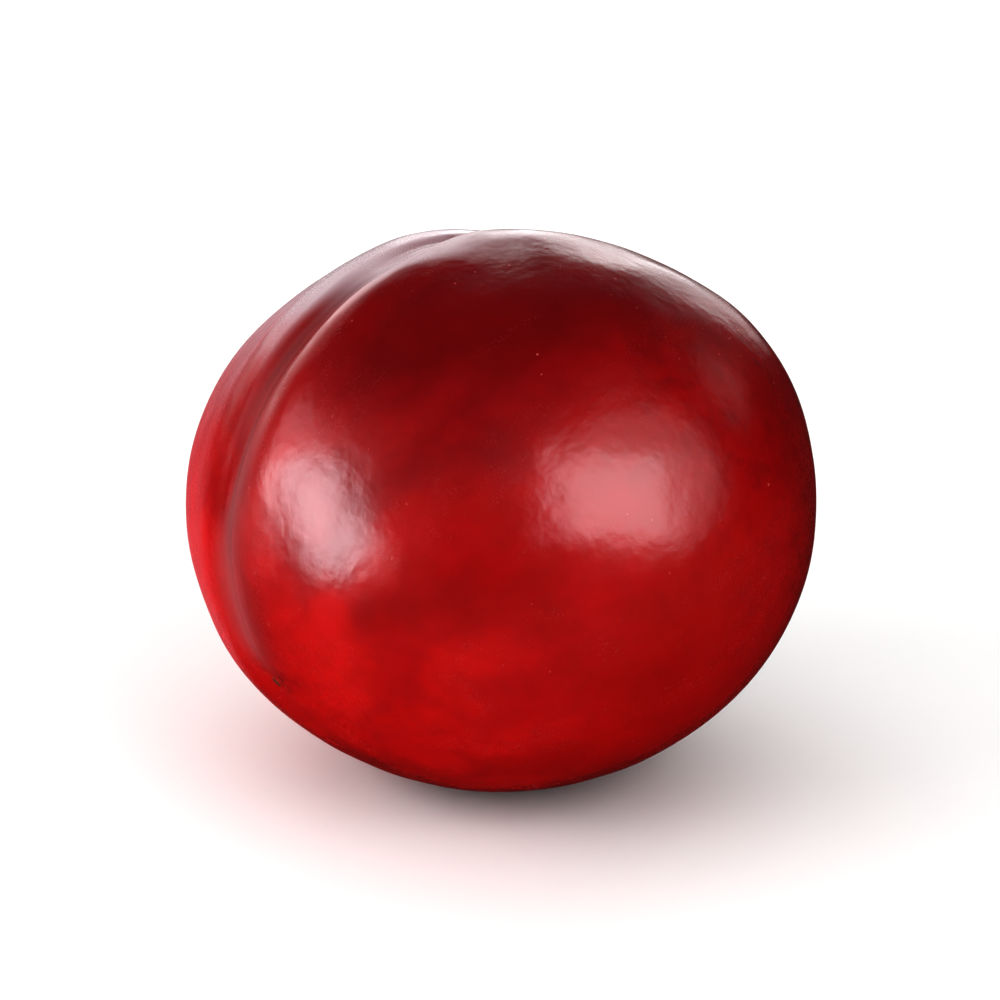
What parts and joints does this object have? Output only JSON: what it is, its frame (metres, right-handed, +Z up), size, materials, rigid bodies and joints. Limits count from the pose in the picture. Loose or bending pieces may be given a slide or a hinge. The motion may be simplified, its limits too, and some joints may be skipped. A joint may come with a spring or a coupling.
{
  "type": "plum",
  "caption": "Whole ripe dark-red plum with a suture groove, a stem cavity with no stalk, and a small flat spot to rest on.",
  "frame": {"origin": "middle of the small flat spot that the plum rests on", "axes": "+Z up, out of the fruit's top, with the flat spot facing down; the stem cavity faces +X and +Y and a little up, the tip of the fruit faces -X and -Y, and the suture groove runs over the top between them"},
  "size_m": [0.0682, 0.0681, 0.0608],
  "materials": {
    "skin": "ripe deep-red plum skin, half glossy under a thin wax bloom, darker near the groove"
  },
  "bodies": {
    "root": {"plum": "skin"}
  },
  "joints": []
}
